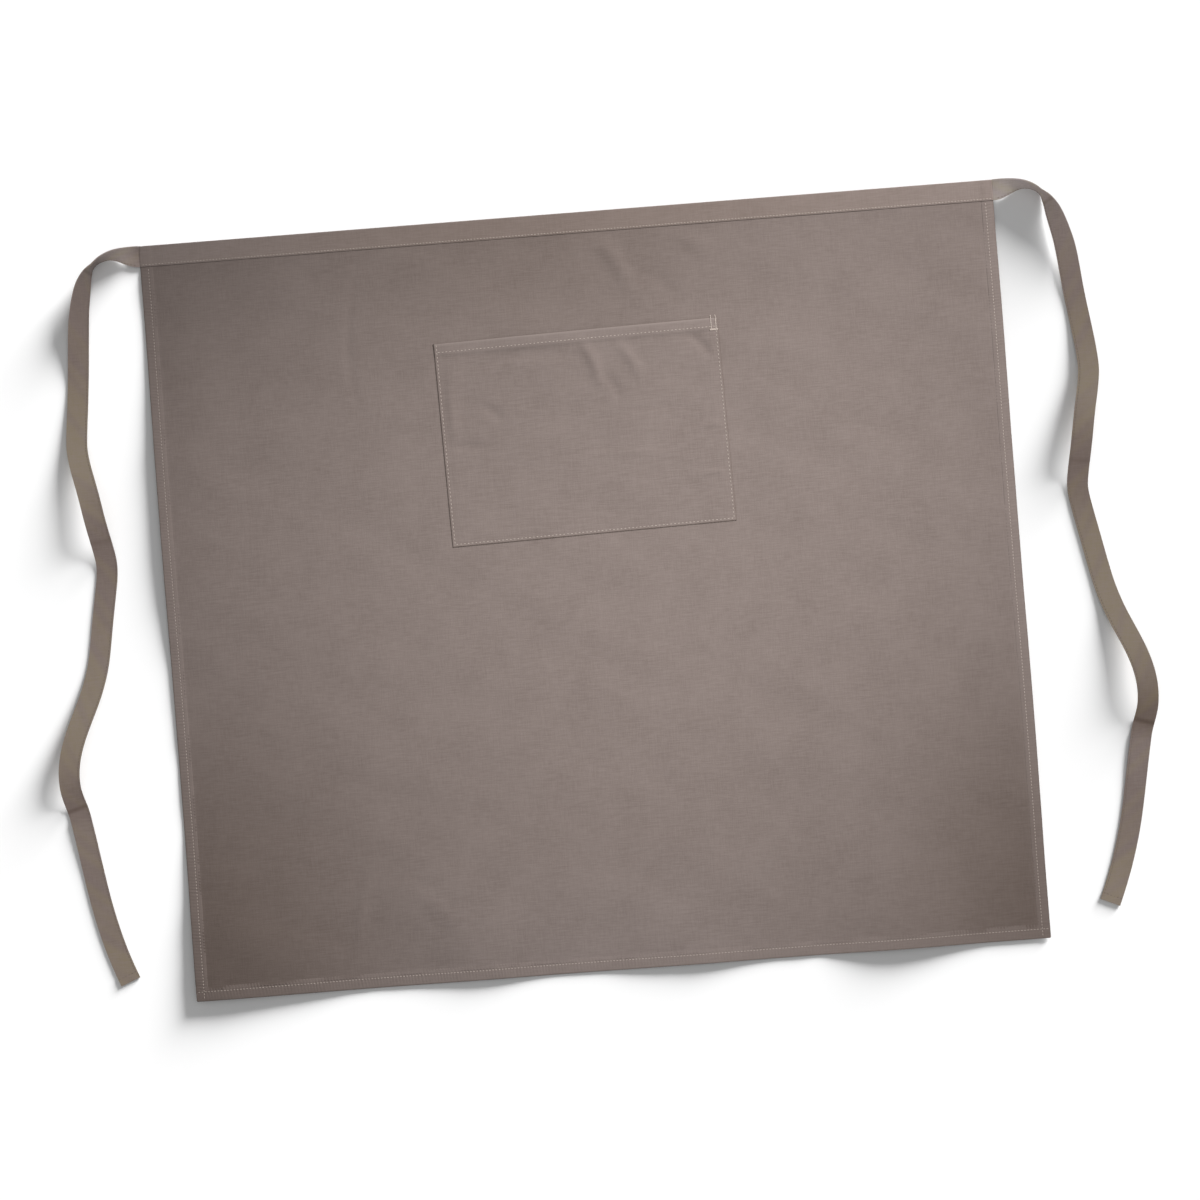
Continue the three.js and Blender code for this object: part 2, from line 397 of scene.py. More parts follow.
def painted_cloth_shading(x, y):
    """Factor of painted light and shade on the cloth's lightness."""
    shade = np.ones(np.broadcast(x, y).shape)
    for row in painted_shade_patches:
        near = bump((x - row["x"]) / row["reach_x"]) * bump((y - row["y"]) / row["reach_y"])
        shade = shade - row["depth"] * near
    return shade


def painted_rim_shading(distance):
    """Factor of painted shade on the lightness of a pressed edge, darker at its very rim."""
    return rim_shade + (1 - rim_shade) * smoothstep(distance, 0.1, rim_width)


def rounding(distance, reach, least):
    """Factor on the thickness at a rounded edge. least is its square at the very edge."""
    return np.sqrt(np.clip(1 - (1 - np.clip(distance / reach, 0, 1)) ** 2, least, 1))


def hem_cover(distance, width):
    """1 on the turned hem, falling to 0 past its inner edge."""
    return 1 - smoothstep(distance, width - 0.2, width + hem_slope)


def puckers(along, distance, width, seed, height=gather):
    """Small gathers across a hem, strongest at its stitch row."""
    reach = bump((distance - width + gather_inset) / (width + 2.0))
    strength = height * (0.8 + 0.5 * wobble(along, 47, seed))
    phase = 2 * np.pi * along / stitch_pitch + 0.25 * distance + 1.5 * wobble(along, 60, seed + 1)
    return strength * reach * np.cos(phase)


def stitch_groove(distance, row):
    return -groove_depth * bump((distance - row) / groove_reach)


def hem_rise(x, y):
    """What the turned hems add to the height of the cloth's face."""
    from_side, from_foot = from_edges(x, y)
    side = hem_cover(from_side, side_hem)
    foot = hem_cover(from_foot, bottom_hem)
    layers = np.maximum(side, foot) + corner_rise * side * foot
    return layers * hem_rise_height


def face(x, y):
    """Height of the panel's upper face."""
    from_side, from_foot = from_edges(x, y)
    detail = (
        puckers(y, from_side, side_hem, np.sign(x) + 2.0, hem_gather)
        + stitch_groove(from_side, side_row)
        + puckers(x, from_foot, bottom_hem, 0.4, hem_gather)
        + stitch_groove(from_foot, bottom_row)
    )
    in_band = smoothstep(y, band_low_y - 4, band_low_y)
    return underside(x, y) + cloth + hem_rise(x, y) + detail * (1 - in_band)


# Mesh building

def add_object(name, data):
    made = bpy.data.objects.new(name, data)
    bpy.context.scene.collection.objects.link(made)
    return made


def add_piece(name, points, faces, material, tones=None):
    """A mesh from points in millimetres, riding on the one body. Its end caps stay flat."""
    placed = (np.asarray(points, float) + apron_origin) * MM
    mesh = bpy.data.meshes.new(name)
    mesh.from_pydata(placed.tolist(), [], faces)
    mesh.validate()
    mesh.polygons.foreach_set("use_smooth", [len(polygon.vertices) <= 4 for polygon in mesh.polygons])
    for key, values in (tones or {}).items():
        layer = mesh.attributes.new(key, "FLOAT", "POINT")
        layer.data.foreach_set("value", np.asarray(values, np.float32))
    mesh.update()
    mesh.materials.append(material)
    piece = add_object(name, mesh)
    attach(piece, "root")
    return piece


def grid_quads(rows, columns, start=0):
    """Faces of a grid of rows times columns points, seen from +Z when columns run +X and rows +Y."""
    index = start + np.arange(rows * columns).reshape(rows, columns)
    quads = stack(index[:-1, :-1], index[:-1, 1:], index[1:, 1:], index[1:, :-1])
    return quads.reshape(-1, 4).tolist()


def grid_rim(rows, columns):
    """Indexes round the rim of a grid, counter-clockwise."""
    index = np.arange(rows * columns).reshape(rows, columns)
    return np.concatenate([index[0, :-1], index[:-1, -1], index[-1, :0:-1], index[:0:-1, 0]])


def loop_solid(rings):
    """Points and faces of a solid swept through closed rings, with a cap at each end."""
    count, size = rings.shape[:2]
    points = rings.reshape(-1, 3)
    here = np.arange(size)
    there = np.roll(here, -1)
    near = np.arange(count - 1)[:, None] * size
    far = near + size
    quads = stack(near + here, near + there, far + there, far + here)
    caps = [list(range(size - 1, -1, -1)), list(range((count - 1) * size, count * size))]
    return points, quads.reshape(-1, 4).tolist() + caps


def stack(*parts):
    return np.stack(parts, axis=-1)


def unit(vectors):
    return vectors / np.linalg.norm(vectors, axis=1, keepdims=True)


def steps_between(low, high, pitch):
    return np.linspace(low, high, max(2, int(round((high - low) / pitch)) + 1))


# Materials

def rgb(red, green, blue):
    """A linear colour from its sRGB levels."""
    levels = np.array([red, green, blue]) / 255
    return (*np.where(levels <= 0.04045, levels / 12.92, ((levels + 0.055) / 1.055) ** 2.4), 1.0)


class Shader:
    """A small builder for a procedural material."""

    def __init__(self, name):
        self.material = bpy.data.materials.new(name)
        self.material.use_nodes = True
        self.tree = self.material.node_tree
        self.surface = self.tree.nodes["Principled BSDF"]
        self.place = self.node("ShaderNodeTexCoord").outputs["Object"]

    def feed(self, socket, value):
        if isinstance(value, bpy.types.NodeSocket):
            self.tree.links.new(value, socket)
        else:
            socket.default_value = value

    def node(self, kind, inputs=None, **settings):
        """A node with these settings. Its inputs take values or other nodes' outputs."""
        made = self.tree.nodes.new(kind)
        for key, value in settings.items():
            setattr(made, key, value)
        for key, value in (inputs or {}).items():
            self.feed(made.inputs[key], value)
        return made

    def noise(self, scale, stretch=(1, 1, 1), detail=2.0, roughness=0.5):
        """Noise with that many cells a metre, stretched along the axes."""
        mapping = self.node("ShaderNodeMapping", {"Vector": self.place, "Scale": stretch})
        grain = {"Scale": scale, "Detail": detail, "Roughness": roughness}
        made = self.node("ShaderNodeTexNoise", {"Vector": mapping.outputs["Vector"], **grain})
        return made.outputs["Fac"]

    def bands(self, direction, period):
        """Parallel threads with that period in metres."""
        inputs = {"Vector": self.place, "Scale": math.pi / (10 * period), "Distortion": 0.0}
        made = self.node("ShaderNodeTexWave", inputs, wave_type="BANDS", bands_direction=direction)
        return made.outputs["Fac"]

    def calc(self, operation, first, second):
        return self.node("ShaderNodeMath", {0: first, 1: second}, operation=operation).outputs[0]

    def spread(self, value, low, high, to_low=0.0, to_high=1.0):
        limits = {"From Min": low, "From Max": high, "To Min": to_low, "To Max": to_high}
        return self.node("ShaderNodeMapRange", {"Value": value, **limits}).outputs["Result"]

    def mix(self, share, first, second, blend="MIX"):
        inputs = {"Factor": share, 6: first, 7: second}
        return self.node("ShaderNodeMix", inputs, data_type="RGBA", blend_type=blend).outputs[2]

    def attribute(self, name):
        return self.node("ShaderNodeAttribute", attribute_name=name).outputs["Fac"]

    def bump(self, height, distance, strength, **base):
        inputs = {"Height": height, "Distance": distance, "Strength": strength, **base}
        return self.node("ShaderNodeBump", inputs).outputs["Normal"]

    def finish(self, **inputs):
        """The material, with these values on its surface. Names have _ for a space."""
        for key, value in inputs.items():
            self.feed(self.surface.inputs[key.replace("_", " ")], value)
        return self.material


# The weave's period in metres, and the slubs: cells a metre, and their stretch across and along
thread_period = 0.00045
slub_cells, slub_thin, slub_long = 130, 9.0, 0.55


def cotton(name, base, light, dark, second=None):
    """Plain-weave cotton: threads both ways, slubs, soft mottling, worn lighter at the hems, painted
    light and shade.
    """
    look = Shader(name)
    mottle = look.noise(22, detail=3.0)
    warp_slub = look.noise(slub_cells, stretch=(slub_thin, slub_long, 1.0), detail=3.0)
    weft_slub = look.noise(slub_cells, stretch=(slub_long, slub_thin, 1.0), detail=3.0)
    fleck = look.noise(900, roughness=0.7)
    colour = look.mix(look.spread(mottle, 0.3, 0.7), dark, base)
    if second is not None:
        colour = look.mix(look.attribute("khaki"), colour, second)
    streaks = look.calc("ADD", warp_slub, look.calc("MULTIPLY", weft_slub, 1.5))
    colour = look.mix(look.spread(streaks, 0.95, 1.55, 0.0, 0.52), colour, light)
    colour = look.mix(look.spread(fleck, 0.35, 0.65, 0.0, 0.16), colour, light)
    # Lighter where worn at the hems, and a painted highlight along the pocket's mouth fold.
    colour = look.mix(look.attribute("wear_and_painted_highlight"), colour, light)
    # Painted light and shade: the shade attribute scales the colour, and where it darkens, blue and
    # green darken a bit more.
    shade = look.node("ShaderNodeCombineColor")
    for channel, power in (("Red", 1.0), ("Green", 1.15), ("Blue", 1.3)):
        look.feed(shade.inputs[channel], look.calc("POWER", look.attribute("shade"), power))
    colour = look.mix(1.0, colour, shade.outputs["Color"], blend="MULTIPLY")
    threads = look.calc("ADD", look.bands("X", thread_period), look.bands("Y", thread_period))
    weave = look.bump(threads, distance=0.00004, strength=0.6)
    slubs = look.bump(streaks, distance=0.00025, strength=0.3, Normal=weave)
    return look.finish(
        Base_Color=colour, Normal=slubs, Roughness=0.92, Specular_IOR_Level=0.25,
        Sheen_Weight=0.12, Sheen_Roughness=0.6,
    )


cloth_base = rgb(121.0, 108.5, 103.0)
cloth_light = rgb(137.5, 125.2, 120.0)
cloth_dark = rgb(114.0, 101.5, 96.0)
tape_base = rgb(123.5, 109.5, 103.5)
tape_light = rgb(139.5, 125.5, 119.5)
tape_dark = rgb(116.5, 102.5, 96.5)
tape_khaki = rgb(132, 119, 97)

cloth_material = cotton("taupe_cotton", cloth_base, cloth_light, cloth_dark)
tape_material = cotton("taupe_tape", tape_base, tape_light, tape_dark, second=tape_khaki)


def sewing_thread(name, light, dark):
    """Twisted sewing thread."""
    look = Shader(name)
    twist = look.noise(1400)
    colour = look.mix(look.spread(twist, 0.35, 0.65), dark, light)
    normal = look.bump(twist, distance=0.00008, strength=0.5)
    return look.finish(Base_Color=colour, Normal=normal, Roughness=0.7, Specular_IOR_Level=0.35)


pale_thread = sewing_thread("pale_thread", rgb(203, 190, 181), rgb(184, 171, 162))
dull_thread = sewing_thread("dull_thread", rgb(122, 109, 100), rgb(106, 94, 86))


# Panel: the single cloth between the hems, and a folded strip for each hem

def field_lines(low, high, hemmed):
    """Grid lines, closer where the cloth slopes off a hem. hemmed tells it for the two ends."""
    near = [0.0, 0.8, 1.6, 2.6, 4.2]
    start = [low + d for d in near] if hemmed[0] else [low]
    end = [high - d for d in reversed(near)] if hemmed[1] else [high]
    inner = steps_between(start[-1], end[0], cloth_grid)
    return np.concatenate([start[:-1], inner, end[1:]])


def even_count(lines):
    """The lines with an even number of steps, so that every second line is a coarse one."""
    if len(lines) % 2 == 1:
        return lines
    middle = len(lines) // 2
    return np.insert(lines, middle, (lines[middle - 1] + lines[middle]) / 2)


def build_panel_cloth():
    half = panel_half - lap_from
    tuck_width = lap_to - lap_from + 0.6
    length = panel_top + panel_length / 2 - lap_from
    columns = even_count(field_lines(-half, half, (True, True)))
    runs = even_count(field_lines(0.0, length, (True, False)))
    x, run = np.meshgrid(columns, runs)
    foot = foot_line(x) + lap_from
    y = foot + run * (panel_top - foot) / length
    tuck_side = 1 - smoothstep(half - np.abs(x), 0, tuck_width)
    tuck_foot = 1 - smoothstep(y - foot, 0, tuck_width)
    top_z = face(x, y) - lap_drop * np.maximum(tuck_side, tuck_foot)
    upper = stack(x, y, top_z)
    lower = upper[::2, ::2] - np.array([0, 0, cloth])
    points = np.concatenate([upper.reshape(-1, 3), lower.reshape(-1, 3)])
    faces = grid_quads(*x.shape)
    faces += [quad[::-1] for quad in grid_quads(*lower.shape[:2], x.size)]
    fine = grid_rim(*x.shape)
    coarse = x.size + grid_rim(*lower.shape[:2])
    for i, low in enumerate(coarse):
        low_next = coarse[(i + 1) % len(coarse)]
        ends = [fine[(2 * i + k) % len(fine)] for k in range(3)]
        faces.append([int(low), int(low_next), int(ends[2]), int(ends[1]), int(ends[0])])
    wear_and_painted_highlight = 0.25 * hem_cover(panel_half - np.abs(x), side_hem + 3)
    # Painted light and shade in broad patches over the cloth
    shade = painted_cloth_shading(x, y)
    tones = {
        key: np.concatenate([values.ravel(), values[::2, ::2].ravel()])
        for key, values in (("wear_and_painted_highlight", wear_and_painted_highlight), ("shade", shade))
    }
    return add_piece("panel_cloth", points, faces, cloth_material, tones)


# A hem's section as distances from its edge: the folded part's face and underside, then the
# underside of the layer that laps over the single cloth. height is a share of the thickness. A
# wider hem stretches the folded part alone.
folded_part = 9.8
hem_section = table("distance height", [
    (13.0, 1), (12.2, 1), (11.4, 1), (10.6, 1), (9.8, 1), (9.1, 1), (8.4, 1), (7.7, 1),
    (6.4, 1), (4.8, 1), (3.2, 1), (1.8, 0.99), (0.9, 0.94), (0.35, 0.84), (0.05, 0.68),
    (0.0, 0.5), (0.05, 0.32), (0.35, 0.14), (0.9, 0.04), (2.2, 0), (5.0, 0), (8.0, 0),
    (8.8, 0.08), (9.0, 0.32), (8.85, 0.6),
])
lap_section = np.array([9.6, 10.4, 11.2, 11.6, 12.2, 13.0])


def hem_ring(width, along, to_xy, end_round=0.0):
    """Rings of a folded hem. to_xy places a point from its run along the hem and its distance."""
    stretch = width / side_hem
    shift = folded_part * (stretch - 1)
    near, height = (np.array([row[key] for row in hem_section]) for key in ("distance", "height"))
    run, distance = np.meshgrid(
        along, np.where(near <= folded_part, near * stretch, near + shift), indexing="ij"
    )
    x, y = to_xy(run, distance)
    bottom = underside(x, y)
    folded = stack(x, y, bottom + (face(x, y) - bottom) * height)
    run, distance = np.meshgrid(along, lap_section + shift, indexing="ij")
    x, y = to_xy(run, distance)
    thinning = smoothstep(distance, lap_from - 0.3 + shift, lap_from + 0.1 + shift)
    thickness = cloth - (cloth - lap_drop + 0.01) * thinning
    lap = stack(x, y, face(x, y) - thickness)
    rings = np.concatenate([folded, lap], axis=1)
    if end_round > 0:
        middle = rings[:, :, 2].mean(axis=1, keepdims=True)
        from_end = np.minimum(along - along[0], along[-1] - along)
        squeeze = rounding(from_end, end_round, 0.04)
        rings[:, :, 2] = middle + (rings[:, :, 2] - middle) * squeeze[:, None]
    return rings


def hem_wear_and_painted_shading(points):
    x, y, _ = points.T
    # Painted shade: darker at the pressed rim, and half as deep as the broad painted patches on the
    # cloth
    shade = painted_rim_shading(np.minimum(*from_edges(x, y))) * (0.5 + 0.5 * painted_cloth_shading(x, y))
    return {"wear_and_painted_highlight": np.full(len(points), 0.3), "shade": shade}


def build_side_hem(name, side):
    along = steps_between(-panel_length / 2 + lap_from, panel_top, hem_pitch)

    def to_xy(run, distance):
        x = side * (panel_half - distance)
        foot = foot_line(x) + bottom_hem + 1.0
        return x, np.maximum(run, foot + 0.02 * (run - run[0, 0]))

    rings = hem_ring(side_hem, along, to_xy)
    from_foot = rings[:, :, 1] - foot_line(rings[:, :, 0])
    rings[:, :, 2] -= lap_drop * (1 - smoothstep(from_foot, lap_from, lap_to + 1.5))
    if side < 0:
        rings = rings[:, ::-1]
    points, faces = loop_solid(rings)
    return add_piece(name, points, faces, cloth_material, hem_wear_and_painted_shading(points))


def build_bottom_hem():
    half = panel_half
    ends = np.array([0.0, 0.12, 0.3, 0.55])
    inner = steps_between(-half + 0.9, half - 0.9, hem_pitch)
    along = np.concatenate([-half + ends, inner, half - ends[::-1]])

    def to_xy(run, distance):
        into_corner = np.clip(hem_corner - (half - np.abs(run)), 0, hem_corner)
        inset = hem_corner - np.sqrt(hem_corner ** 2 - into_corner ** 2)
        near_edge = np.clip(1 - distance / 4.0, 0, 1)
        return run, foot_line(run) + distance + inset * near_edge

    rings = hem_ring(bottom_hem, along, to_xy, 0.8)
    points, faces = loop_solid(rings[:, ::-1])
    return add_piece("hem_bottom", points, faces, cloth_material, hem_wear_and_painted_shading(points))


# Tape: two leaves folded at one edge and sewn at the other, swept along the band and the ties

def arc(across, through, radius, angles):
    return [(across + radius * math.cos(t), through + radius * math.sin(t)) for t in angles]


def tape_ring(gap, run, seed):
    """The tape's section at a run, across and through, with the fold at +across and gap inside."""
    inner = gap / 2
    outer = inner + leaf
    fold = tape_half - outer
    sewn = leaf / 2 - tape_half
    stations = np.linspace(sewn, fold, 12)
    puff = fold_puff * bump((stations - 1.0) / 9.0) - sewn_groove * bump(stations + tape_half - sewn_row)
    front = [(a, outer + p) for a, p in zip(stations, puff)]
    back = [(a, -t) for a, t in reversed(front)]
    turn = arc(fold, 0, outer, np.linspace(np.pi / 2, -np.pi / 2, 9)[1:-1])
    inner_turn = arc(fold, 0, inner, (-np.pi / 4, 0.0, np.pi / 4))
    ends = np.linspace(-np.pi / 2, -3 * np.pi / 2, 5)[1:-1]
    back_edge = arc(sewn, -(inner + leaf / 2), leaf / 2, ends)
    front_edge = arc(sewn, inner + leaf / 2, leaf / 2, ends)
    inside = np.linspace(sewn, fold, 5)
    back_inside = [(a, -inner) for a in inside]
    front_inside = [(a, inner) for a in inside[::-1]]
    ring = front + turn + back + back_edge + back_inside + inner_turn + front_inside + front_edge
    across, through = np.array(ring).T
    outward = np.sign(through) * (np.abs(through) > inner + 0.01)
    return across, through + outward * tape_puckers(run, across, seed)


def tape_puckers(run, across, seed):
    """Small gathers at the tape's row of stitches."""
    reach = bump((across + tape_half - sewn_row) / 5.0)
    strength = tape_gather * (0.8 + 0.4 * wobble(run, 53, seed))
    return strength * reach * np.cos(2 * np.pi * run / stitch_pitch + wobble(run, 70, seed))


def band_gap(x):
    """How far the panel parts the leaves: its cloth, and the folded hem near each end."""
    from_side = panel_half - np.abs(x)
    return cloth + band_play + hem_cover(from_side, side_hem) * hem_rise_height


def band_centre_z(x):
    return band_gap(x) / 2 + leaf + band_lie


def band_ripple(x):
    """Slow rise and fall of the waistband's upper face."""
    return 0.12 * wobble(x, 240, 0.9)


def build_waistband():
    half = panel_half + join_past_edge
    along = steps_between(-half, half, stitch_pitch / 3)
    rings = []
    for x in along:
        across, through = tape_ring(band_gap(x), x, 0.7)
        z = band_centre_z(x) + through + band_ripple(x) * (through > 0)
        rings.append(stack(np.full(len(across), x), band_middle_y + across, z))
    points, faces = loop_solid(np.array(rings)[:, ::-1])
    tones = {
        "wear_and_painted_highlight": np.full(len(points), 0.12),
        "khaki": np.full(len(points), 0.1),
        # Painted light and shade along the waistband
        "shade": column_curve(band_painted_shading, "shade", points[:, 0] / panel_width + 0.5),
    }
    return add_piece("waistband_tape", points, faces, tape_material, tones)


class Tie:
    """The centre line and frames of one tie. side is -1 for the left and 1 for the right."""

    def __init__(self, side):
        self.side = side
        share = np.linspace(0, 1, tie_steps + 1)
        self.along = share * tie_length
        roll = np.radians(np.maximum(column_curve(tie_route, "roll", share), 0))
        drape = np.maximum(column_curve(tie_route, "lift", share), 0)
        half_thickness = leaf + tape_gap / 2
        in_tip = 1 - smoothstep(tie_length - self.along, tip_hem - 1, tip_hem + 2)
        self.tip_rise = tip_hem_rise * in_tip
        spread = band_gap(panel_half) - tape_gap
        self.gap = tape_gap + spread * (1 - smoothstep(self.along, 0, leaves_close))
        on_edge = tape_half * np.sin(roll) + half_thickness * np.cos(roll) + band_lie
        step_up = band_centre_z(panel_half) - half_thickness - band_lie
        seat = step_up * (1 - smoothstep(self.along, 0, tie_seat_length))
        z = on_edge + seat + tie_lift * drape + half_thickness * self.tip_rise
        middle = (share[1:] + share[:-1]) / 2
        turn = np.radians(column_curve(tie_route, "left" if side < 0 else "right", middle))
        run = np.sqrt(np.maximum((tie_length / tie_steps) ** 2 - np.diff(z) ** 2, 0))
        start = panel_half + join_past_edge
        x = side * (start + np.concatenate([[0], np.cumsum(run * np.sin(turn))]))
        y = band_middle_y - np.concatenate([[0], np.cumsum(run * np.cos(turn))])
        self.centre = stack(x, y, z)
        ahead = np.gradient(self.centre, axis=0)
        ahead[0] = (side, 0, 0)
        ahead = unit(ahead)
        outward = side * unit(np.cross((0, 0, 1), ahead))
        normal = np.cross(ahead, outward) * side
        cos, sin = np.cos(roll)[:, None], np.sin(roll)[:, None]
        self.across = outward * cos + normal * sin
        self.through = normal * cos - outward * sin

    def at(self, along, across, through):
        """Points at runs along the tie, from its centre line."""
        def read(field):
            return stack(*(np.interp(along, self.along, column) for column in field.T))
        return (
            read(self.centre)
            + read(self.across) * np.asarray(across)[..., None]
            + read(self.through) * np.asarray(through)[..., None]
        )


# Where the two ties' patches of khaki begin
khaki_seeds = {"left": 6.2, "right": 7.2}


def khaki_share(side, runs, across):
    """Share of khaki along a tie, in patches with slanted and uneven borders."""
    patches = 0.5 * wobble(runs + 1.2 * across, 61, khaki_seeds[side])
    return np.clip(column_curve(tape_khaki_and_painted_shading, side + "_khaki", runs / tie_length) + patches, 0, 1)


def build_tie(name, tie):
    rings = []
    places = []
    for i, run in enumerate(tie.along):
        across, through = tape_ring(tie.gap[i], run, 1.7 + tie.side)
        through = through * (1 + tie.tip_rise[i]) * rounding(tie_length - run, tip_round, 0.05)
        rings.append(tie.at(np.full(len(across), run), across, through))
        places.append(across)
    rings, places = np.array(rings), np.array(places)
    if tie.side > 0:
        rings, places = rings[:, ::-1], places[:, ::-1]
    points, faces = loop_solid(rings)
    runs = np.repeat(tie.along, rings.shape[1])
    side = "left" if tie.side < 0 else "right"
    # Painted light and shade along the tie
    shade = column_curve(tape_khaki_and_painted_shading, side + "_shade", runs / tie_length)
    # Painted shade in the tie's creases
    for row in painted_crease_shading:
        if row["side"] == tie.side:
            shade = shade * (1 - row["depth"] * bump((runs - row["run"]) / row["reach"]))
    tones = {
        "wear_and_painted_highlight": np.full(len(points), 0.1),
        "khaki": khaki_share(side, runs, places.ravel()),
        "shade": shade,
    }
    return add_piece(name, points, faces, tape_material, tones)


# Pocket

def pocket_xy(x, below):
    y = pocket_depth / 2 - below
    cos, sin = math.cos(pocket_turn), math.sin(pocket_turn)
    return pocket_centre[0] + x * cos - y * sin, pocket_centre[1] + x * sin + y * cos


def from_seams(x, below):
    """Distances of a place on the pocket from its nearer side and from its bottom."""
    return pocket_width / 2 - np.abs(x), pocket_depth - below


def pocket_folds(x, below):
    total = np.zeros(np.broadcast(x, below).shape)
    for row in pocket_wrinkles:
        total = total + ridge(x - row["x"], row["below"] - below, row)
    from_side, from_bottom = from_seams(x, below)
    sewn = smoothstep(from_side, pocket_seam, 14) * smoothstep(from_bottom, pocket_seam, 14)
    return (total + pocket_fold_lift) * sewn


def pocket_underside(x, below):
    border_x = pocket_width / 2 - pocket_border
    towards_side = np.clip(np.abs(x) / border_x, 0, 1)
    towards_bottom = np.clip(below / pocket_gape_reach, 0, 1)
    gape = pocket_gape * bump(towards_side ** 1.5) * bump(towards_bottom)
    panel_x, panel_y = pocket_xy(x, below)
    return face(panel_x, panel_y) + pocket_clearance + gape + pocket_folds(x, below)


def pocket_thickness(x, below):
    from_seam = np.minimum(*from_seams(x, below))
    border = 1 - smoothstep(from_seam, pocket_seam, pocket_border + 7)
    mouth = hem_cover(below, mouth_hem)
    return pocket_cloth * (1 + np.maximum(border, (mouth_layers - 1) * mouth))


def pocket_detail(x, below):
    """Grooves and gathers at the pocket's rows of stitches."""
    from_side, from_bottom = from_seams(x, below)
    gathered = pocket_seam + 1.5
    return (
        stitch_groove(from_side, pocket_seam)
        + stitch_groove(from_bottom, pocket_seam)
        + stitch_groove(below, mouth_row)
        + puckers(below, from_side, gathered, 3.1)
        + puckers(x, from_bottom, gathered, 4.2)
        + puckers(x, below, mouth_hem, 5.3)
    )


def pocket_face(x, below):
    return pocket_underside(x, below) + pocket_thickness(x, below) + pocket_detail(x, below)


def build_pocket():
    near = np.array([0.0, 0.15, 0.45, 0.9, 1.6])
    half = pocket_width / 2
    inner = 2 * pocket_grid
    columns = np.concatenate([
        -half + near,
        steps_between(-half + inner, half - inner, pocket_grid),
        half - near[::-1],
    ])
    rows = np.concatenate([
        pocket_depth - near,
        steps_between(inner, pocket_depth - inner, pocket_grid)[::-1],
        near[::-1],
    ])
    x, below = np.meshgrid(columns, rows)
    panel_x, panel_y = pocket_xy(x, below)
    bottom = pocket_underside(x, below)
    top = pocket_face(x, below)
    edge = np.minimum(np.minimum(*from_seams(x, below)), below)
    squeeze = rounding(edge, 0.9, 0.03)
    middle = (top + bottom) / 2
    upper = stack(panel_x, panel_y, middle + (top - middle) * squeeze)
    lower = stack(panel_x, panel_y, middle + (bottom - middle) * squeeze)
    points = np.concatenate([upper.reshape(-1, 3), lower.reshape(-1, 3)])
    faces = grid_quads(*x.shape)
    faces += [quad[::-1] for quad in grid_quads(*x.shape, x.size)]
    rim = grid_rim(*x.shape)
    for start, end in zip(rim, np.roll(rim, -1)):
        faces.append([int(x.size + start), int(x.size + end), int(end), int(start)])
    # Painted highlight: a narrow lighter line along the mouth's fold, added to the lighter worn mouth
    # hem.
    fold = 0.8 * smoothstep(below, 0.2, 0.8) * (1 - smoothstep(below, 1.6, 3.2))
    wear_and_painted_highlight = 0.25 * hem_cover(below, mouth_hem) + fold
    # Painted shade: a thin dark line round the pocket's rim.
    tones = {"wear_and_painted_highlight": np.tile(wear_and_painted_highlight.ravel(), 2), "shade": np.tile(painted_rim_shading(edge).ravel(), 2)}
    return add_piece("pocket_patch", points, faces, cloth_material, tones)


# Stitches: short arched lengths of thread, laid on a face

def stitch_template():
    """One stitch as (along, across, up) points from -0.5 to 0.5 along, with its faces."""
    sides = stitch_sides
    stations = np.linspace(-0.42, 0.42, 5)
    points = [(-0.5, 0.0, -0.25)]
    for u in stations:
        arch = 0.42 * (1 - (2 * u) ** 4)
        radius = 0.5 * math.sqrt(1 - (1.6 * u) ** 2 * 0.55)
        for k in range(sides):
            angle = 2 * math.pi * (k + 0.25) / sides
            points.append((u, radius * math.cos(angle), arch - 0.1 + radius * math.sin(angle)))
    points.append((0.5, 0.0, -0.25))
    faces = []
    for k in range(sides):
        faces.append((0, 1 + (k + 1) % sides, 1 + k))
    for ring in range(1, 1 + (len(stations) - 1) * sides, sides):
        for k in range(sides):
            a = ring + k
            b = ring + (k + 1) % sides
            faces.append((a, b, b + sides, a + sides))
    last = 1 + (len(stations) - 1) * sides
    tip = last + sides
    for k in range(sides):
        faces.append((last + k, last + (k + 1) % sides, tip))
    return np.array(points), faces


template_points, template_faces = stitch_template()


def stitches(centres, directions, ups, length=stitch_length, width=thread):
    """Copies of the stitch at centres, each along its direction and standing up from its face."""
    centres = np.asarray(centres, float)
    directions = unit(directions)
    sides = unit(np.cross(ups, directions))
    size = length * (1 + 0.06 * rng.standard_normal(len(centres)))
    slant = 0.05 * rng.standard_normal(len(centres))
    directions = directions + sides * slant[:, None]
    local = template_points
    points = (
        centres[:, None, :]
        + directions[:, None, :] * (local[None, :, 0] * size[:, None])[..., None]
        + sides[:, None, :] * (local[:, 1] * width)[None, :, None]
        + ups[:, None, :] * (local[:, 2] * width)[None, :, None]
    )
    return points.reshape(-1, 3)


def add_stitches(name, groups, material):
    """One mesh from several groups of stitches, each a block of points."""
    points = np.concatenate(groups)
    faces = []
    for offset in range(0, len(points), len(template_points)):
        faces += [tuple(offset + v for v in corners) for corners in template_faces]
    return add_piece(name, points, faces, material)


def row_on_surface(places, surface, facing=1.0, **sizes):
    """Stitches along places, an (n, 2) array in the surface's own plane. surface gives points."""
    step = 0.4
    places = np.asarray(places, float)
    heading = unit(np.gradient(places, axis=0))
    centre = surface(places)
    ahead = surface(places + heading * step) - surface(places - heading * step)
    side = stack(-heading[:, 1], heading[:, 0])
    across = surface(places + side * step) - surface(places - side * step)
    up = unit(np.cross(ahead, across))
    up *= np.sign(up[:, 2:3]) * facing
    return stitches(centre, ahead, up, **sizes)


def panel_surface(places):
    x, y = places.T
    return stack(x, y, face(x, y))


